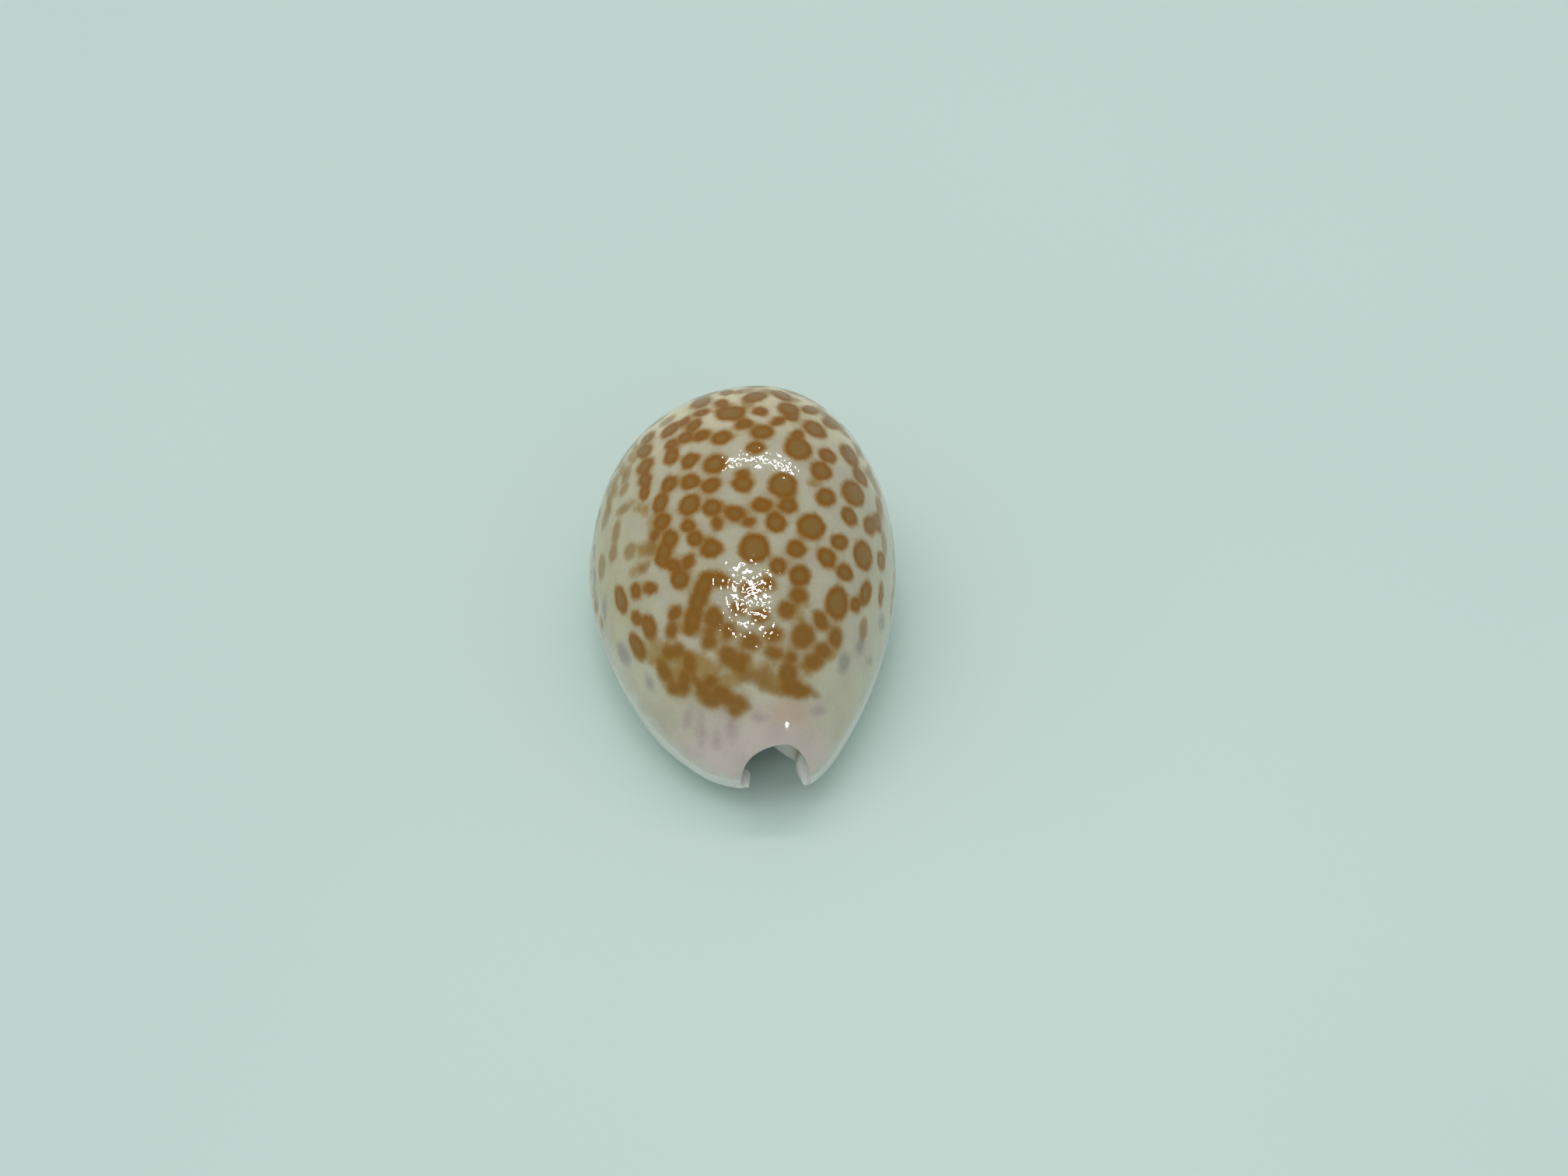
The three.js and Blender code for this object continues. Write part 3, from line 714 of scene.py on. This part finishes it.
def porcelain_glaze():
    material = bpy.data.materials.new("spotted_porcelain")
    material.use_nodes = True
    material.node_tree.nodes.clear()
    s = Shader(material.node_tree)
    here = s.add("ShaderNodeTexCoord").outputs["Object"]
    parts = s.add("ShaderNodeSeparateXYZ", {0: here}).outputs
    along = s.math("DIVIDE", parts["Y"], MM)
    height = s.math("DIVIDE", parts["Z"], MM)
    sideways = s.math("DIVIDE", parts["X"], MM)
    up = s.attribute("up_the_back")
    broad = s.noise(here, 0.28, 2.0)
    cloudy = s.noise(here, 0.9, 3.0)
    ragged = s.noise(here, 1.9, 3.0, 0.6)
    grainy = s.noise(here, 11.0, 2.0)

    # The pale ground: cream at the rear, painted brighter there as painted light, grey-white in the middle,
    # lilac-white at the front, with a cream outer flank, a white base and a painted highlight along the rim
    # under the front margin
    front = s.span(s.math("ADD", along, s.math("MULTIPLY", broad, 2.0)), -5.2, -6.6)
    # Towards the rear the ground turns cream, and it is also painted brighter there as painted light for the
    # stronger light on the rear of the back
    rear = s.span(along, 0.5, 5.0)
    ground = s.blend(rear, WHITE_MIDDLE, CREAM_AND_PAINTED_LIGHT_REAR)
    ground = s.blend(front, ground, LILAC_FRONT)
    outer_flank = s.math("MULTIPLY", s.span(sideways, -2.5, -5.4), s.span(along, -4.5, -1.5))
    ground = s.blend(outer_flank, ground, CREAM_FLANK)
    uneven = s.math("MULTIPLY", s.math("SUBTRACT", ragged, 0.5), 0.2)
    ground = s.blend(s.span(s.math("ADD", up, uneven), 0.13, 0.0), ground, BASE_WHITE)
    ground = s.blend(s.math("MULTIPLY", s.span(cloudy, 0.35, 0.75), 0.3), ground, LILAC)
    # Painted highlight: a thin lighter band along the lowest edge of the front margins stands for the bright
    # rim light there
    rim = s.math("MULTIPLY", s.span(up, 0.035, 0.0), s.span(along, -1.0, -4.5))
    ground = s.blend(s.math("MULTIPLY", rim, 0.3), ground, PAINTED_RIM_HIGHLIGHT)

    # Lilac clouds and a faint orange flush just behind the front end; one noise frays every mark's edge
    wander = s.math("MULTIPLY", s.math("SUBTRACT", ragged, 0.5), 0.24)
    clouds = s.span(s.math("ADD", s.attribute("lilac_gap"), s.math("MULTIPLY", wander, 2.0)), 0.2, -0.25)
    ground = s.blend(s.math("MULTIPLY", clouds, 0.8), ground, LILAC)
    flush = s.math("MULTIPLY", s.span(along, -6.5, -6.9), s.span(along, -7.4, -7.0))
    from_middle = s.math("ABSOLUTE", s.math("SUBTRACT", sideways, 1.3))
    flush = s.math("MULTIPLY", flush, s.span(from_middle, 1.2, 0.2))
    ground = s.blend(s.math("MULTIPLY", flush, 0.5), ground, FAINT_ORANGE)

    # An olive and amber film runs between spots that stand close together
    olive = s.span(s.math("ADD", s.attribute("olive_gap"), s.math("MULTIPLY", wander, 2.0)), 0.18, -0.2)
    colour = s.blend(s.math("MULTIPLY", olive, 0.9), ground, OLIVE)
    film_gap = s.math("ADD", s.attribute("film_gap"), s.math("MULTIPLY", wander, 1.5))
    colour = s.blend(s.math("MULTIPLY", s.span(film_gap, 0.42, 0.0), 0.25), colour, HAZE)
    colour = s.blend(s.math("MULTIPLY", s.span(film_gap, 0.15, -0.16), 0.85), colour, FILM)

    faint = s.span(s.math("ADD", s.attribute("faint_gap"), wander), 0.17, -0.14)
    colour = s.blend(s.math("MULTIPLY", faint, 0.75), colour, FAINT_BROWN)

    # Brown spots with a greyer heart and a richer ring; they turn amber near the front and grey low down
    gap = s.math("ADD", s.attribute("brown_gap"), wander)
    ringed = s.ramp(s.span(gap, -0.5, 0.3, smooth_step=False), [
        (0.26, SPOT_HEART), (0.5, SPOT_RING), (0.57, SPOT_RING), (0.74, SPOT_HALO)])
    amber_zone = s.math("MULTIPLY", s.span(along, -2.0, -5.2), s.span(sideways, 3.6, 1.6))
    ringed = s.blend(s.math("MULTIPLY", amber_zone, 0.55), ringed, AMBER)
    low_down = s.span(height, 4.6, 2.4)
    ringed = s.blend(s.math("MULTIPLY", low_down, 0.6), ringed, VEILED_BROWN)
    softness = s.math("MAXIMUM", s.span(along, -3.0, -5.0), low_down)
    crispness = s.span(softness, 0.0, 1.0, 1.0, 0.55, False)
    cover = s.span(s.math("MULTIPLY", gap, crispness), 0.14, -0.13)
    cover = s.math("MULTIPLY", cover, s.span(low_down, 0.0, 1.0, 1.0, 0.75, False))
    colour = s.blend(cover, colour, ringed)
    veiled = s.span(s.math("ADD", s.attribute("veiled_gap"), wander), 0.12, -0.3)
    colour = s.blend(s.math("MULTIPLY", veiled, 0.8), colour, VEIL_GREY)

    # Brick red deep inside the mouth
    deep = s.math("MULTIPLY", s.span(along, -7.3, -5.2), s.span(along, 7.3, 5.8))
    colour = s.blend(s.math("MULTIPLY", s.attribute("hollow"), deep), colour, BRICK_RED)
    speck = s.ramp(grainy, [(0.3, (0.94, 0.94, 0.94, 1)), (0.7, (1, 1, 1, 1))])
    colour = s.blend(1.0, colour, speck, "MULTIPLY")

    # Fine dimples break up the highlights of the back, over slow swells; the front callus is smoother
    depth = s.math("MULTIPLY", s.span(along, -6.6, -5.4, 0.004, 0.044), s.span(along, -1.8, -0.6, 1.0, 0.55))
    stretched = s.add("ShaderNodeVectorMath", {0: here, 1: (1.25, 0.8, 1.0)}, operation="MULTIPLY")
    dimples = s.math("MULTIPLY", s.noise(stretched.outputs[0], 3.5, 1.0), depth)
    swells = s.math("MULTIPLY", s.noise(here, 0.7, 1.0), 0.03)
    relief = s.math("ADD", dimples, swells)
    bump = s.add("ShaderNodeBump", {"Height": relief, "Strength": 1.0, "Distance": MM})
    shine = s.span(cloudy, 0.3, 0.7, 0.04, 0.07, False)
    body = s.add("ShaderNodeBsdfPrincipled", {
        "Base Color": colour, "Roughness": shine, "Normal": bump.outputs[0], "IOR": 1.35,
        "Specular IOR Level": 0.5, "Coat Weight": s.math("MULTIPLY", front, 0.7), "Coat Roughness": 0.04,
        "Subsurface Weight": 0.12, "Subsurface Scale": 0.4 * MM})
    body.inputs["Subsurface Radius"].default_value = (1.0, 0.75, 0.55)
    s.add("ShaderNodeOutputMaterial", {"Surface": body.outputs[0]})
    return material


def floor_finish():
    material = bpy.data.materials.new("pale_floor")
    material.use_nodes = True
    material.node_tree.nodes.clear()
    s = Shader(material.node_tree)
    here = s.add("ShaderNodeTexCoord").outputs["Object"]
    tone = s.ramp(s.noise(here, 0.02, 2.0), [(0.3, srgb(204, 227, 218)), (0.7, srgb(209, 231, 222))])
    body = s.add("ShaderNodeBsdfPrincipled", {"Base Color": tone, "Roughness": 0.6})
    s.add("ShaderNodeOutputMaterial", {"Surface": body.outputs[0]})
    return material


# Put together

glaze = porcelain_glaze()
shell = with_tree(build_shell_mesh(), "cowrie_shell", lip_teeth_tree(), {
    "Pitch": TOOTH_PITCH, "First groove": FIRST_GROOVE, "Gaps": float(TOOTH_GAPS),
    "Inner lip shift": GROOVE["inner"][1], "Sharpness": 1.6, "Glaze": glaze})
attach(shell, "root")
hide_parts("shell")

FLOOR_HALF = 0.6
floor_mesh = bpy.data.meshes.new("floor")
corners = [(x * FLOOR_HALF, y * FLOOR_HALF, 0) for x, y in ((-1, -1), (1, -1), (1, 1), (-1, 1))]
floor_mesh.from_pydata(corners, [], [(0, 1, 2, 3)])
floor = bpy.data.objects.new("floor", floor_mesh)
bpy.context.collection.objects.link(floor)
floor_mesh.materials.append(floor_finish())


# Light and camera

def soft_light(name, towards, distance, size, power, glint=False):
    """A lamp that stands off in one direction and faces the shell.

    It gives either glints or body light, so that the glints stay small and never veil the markings."""
    aim = Vector((0, 0, 4 * MM))
    lamp = bpy.data.lights.new(name, "AREA")
    lamp.shape = "RECTANGLE"
    lamp.size, lamp.size_y = size
    lamp.energy = power
    holder = bpy.data.objects.new(name, lamp)
    direction = Vector(towards).normalized()
    upward = direction.cross(Vector((1, 0, 0))).normalized()
    turn = Matrix((upward.cross(direction), upward, direction)).transposed().to_4x4()
    holder.matrix_world = Matrix.Translation(aim + direction * distance) @ turn
    holder.visible_glossy = glint
    holder.visible_diffuse = not glint
    bpy.context.collection.objects.link(holder)


soft_light("overhead_softbox", (-0.3, 0.25, 1.0), 0.5, (0.4, 0.4), 0.5)
soft_light("front_lamp", (-0.154, -0.535, 0.831), 0.2, (0.064, 0.014), 0.34, glint=True)
soft_light("rear_strip", (0.14, 0.51, 0.85), 0.25, (0.21, 0.007), 0.6, glint=True)
soft_light("low_front_strip", (0.2, -0.95, 0.14), 0.2, (0.03, 0.003), 0.04, glint=True)

world = bpy.data.worlds.new("studio")
world.use_nodes = True
sky = world.node_tree.nodes["Background"]
sky.inputs["Color"].default_value = (0.94, 0.98, 1.0, 1)
sky.inputs["Strength"].default_value = 0.62
bpy.context.scene.world = world
bpy.context.scene.view_settings.view_transform = "Standard"

lens = bpy.data.cameras.new("photo_view")
lens.sensor_width = 36
lens.lens = LENS_PIXELS / PHOTO_WIDTH * lens.sensor_width
lens.clip_start = 0.005
camera = bpy.data.objects.new("photo_view", lens)
turn = Matrix((RIGHT, OVER, -AHEAD)).transposed().to_4x4()
camera.matrix_world = Matrix.Translation(Vector(CAMERA_SPOT) * MM) @ turn
bpy.context.collection.objects.link(camera)
bpy.context.scene.camera = camera
